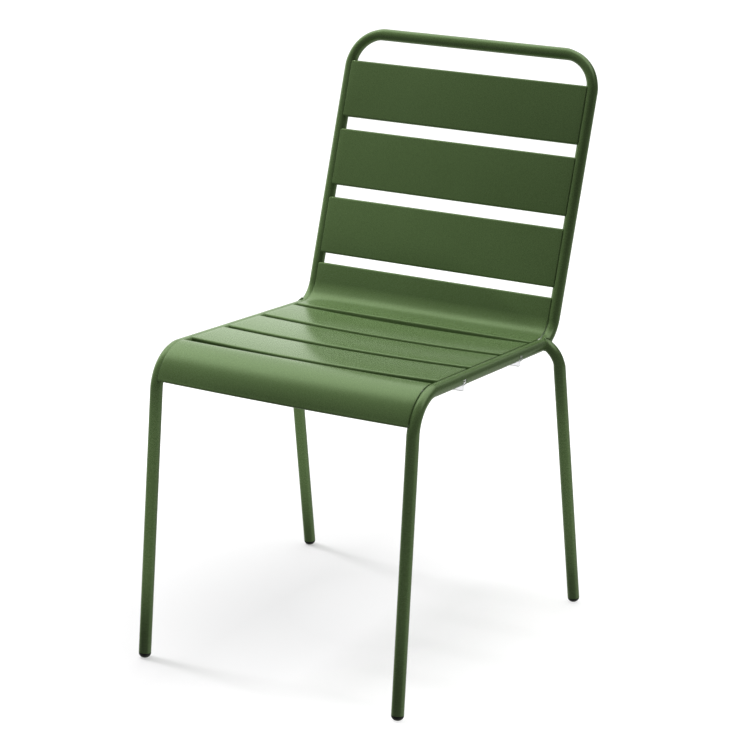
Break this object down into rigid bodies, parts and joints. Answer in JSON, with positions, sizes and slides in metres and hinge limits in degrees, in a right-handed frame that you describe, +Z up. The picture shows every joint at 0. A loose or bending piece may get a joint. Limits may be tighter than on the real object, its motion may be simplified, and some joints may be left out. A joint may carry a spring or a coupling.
{
  "type": "stacking chair",
  "caption": "Armless stacking chair with a bent steel tube frame, pressed sheet slats on the seat and back, splayed rear legs and plastic foot plugs.",
  "frame": {"origin": "on the floor, below the middle of the chair's bounding box", "axes": "+Z up, -Y the way the sitter faces, +X towards the sitter's left hand"},
  "size_m": [0.4872, 0.6064, 0.8391],
  "materials": {
    "powder_coated_steel": "satin green powder coat with a fine orange-peel texture",
    "black_plastic": "matt black moulded plastic",
    "clear_plastic": "clear moulded plastic, faintly milky"
  },
  "bodies": {
    "root": {"frame_tube": "powder_coated_steel", "rear_leg_left": "powder_coated_steel", "rear_leg_right": "powder_coated_steel", "front_edge_slat": "powder_coated_steel", "seat_slat_front": "powder_coated_steel", "seat_slat_middle": "powder_coated_steel", "seat_slat_rear": "powder_coated_steel", "seat_to_back_slat": "powder_coated_steel", "back_slat_lower": "powder_coated_steel", "back_slat_middle": "powder_coated_steel", "back_slat_upper": "powder_coated_steel", "foot_plug_front_left": "black_plastic", "foot_plug_front_right": "black_plastic", "foot_plug_rear_left": "black_plastic", "foot_plug_rear_right": "black_plastic", "stacking_clip_front_left": "clear_plastic", "stacking_clip_front_right": "clear_plastic", "stacking_clip_rear_left": "clear_plastic", "stacking_clip_rear_right": "clear_plastic"}
  },
  "joints": []
}
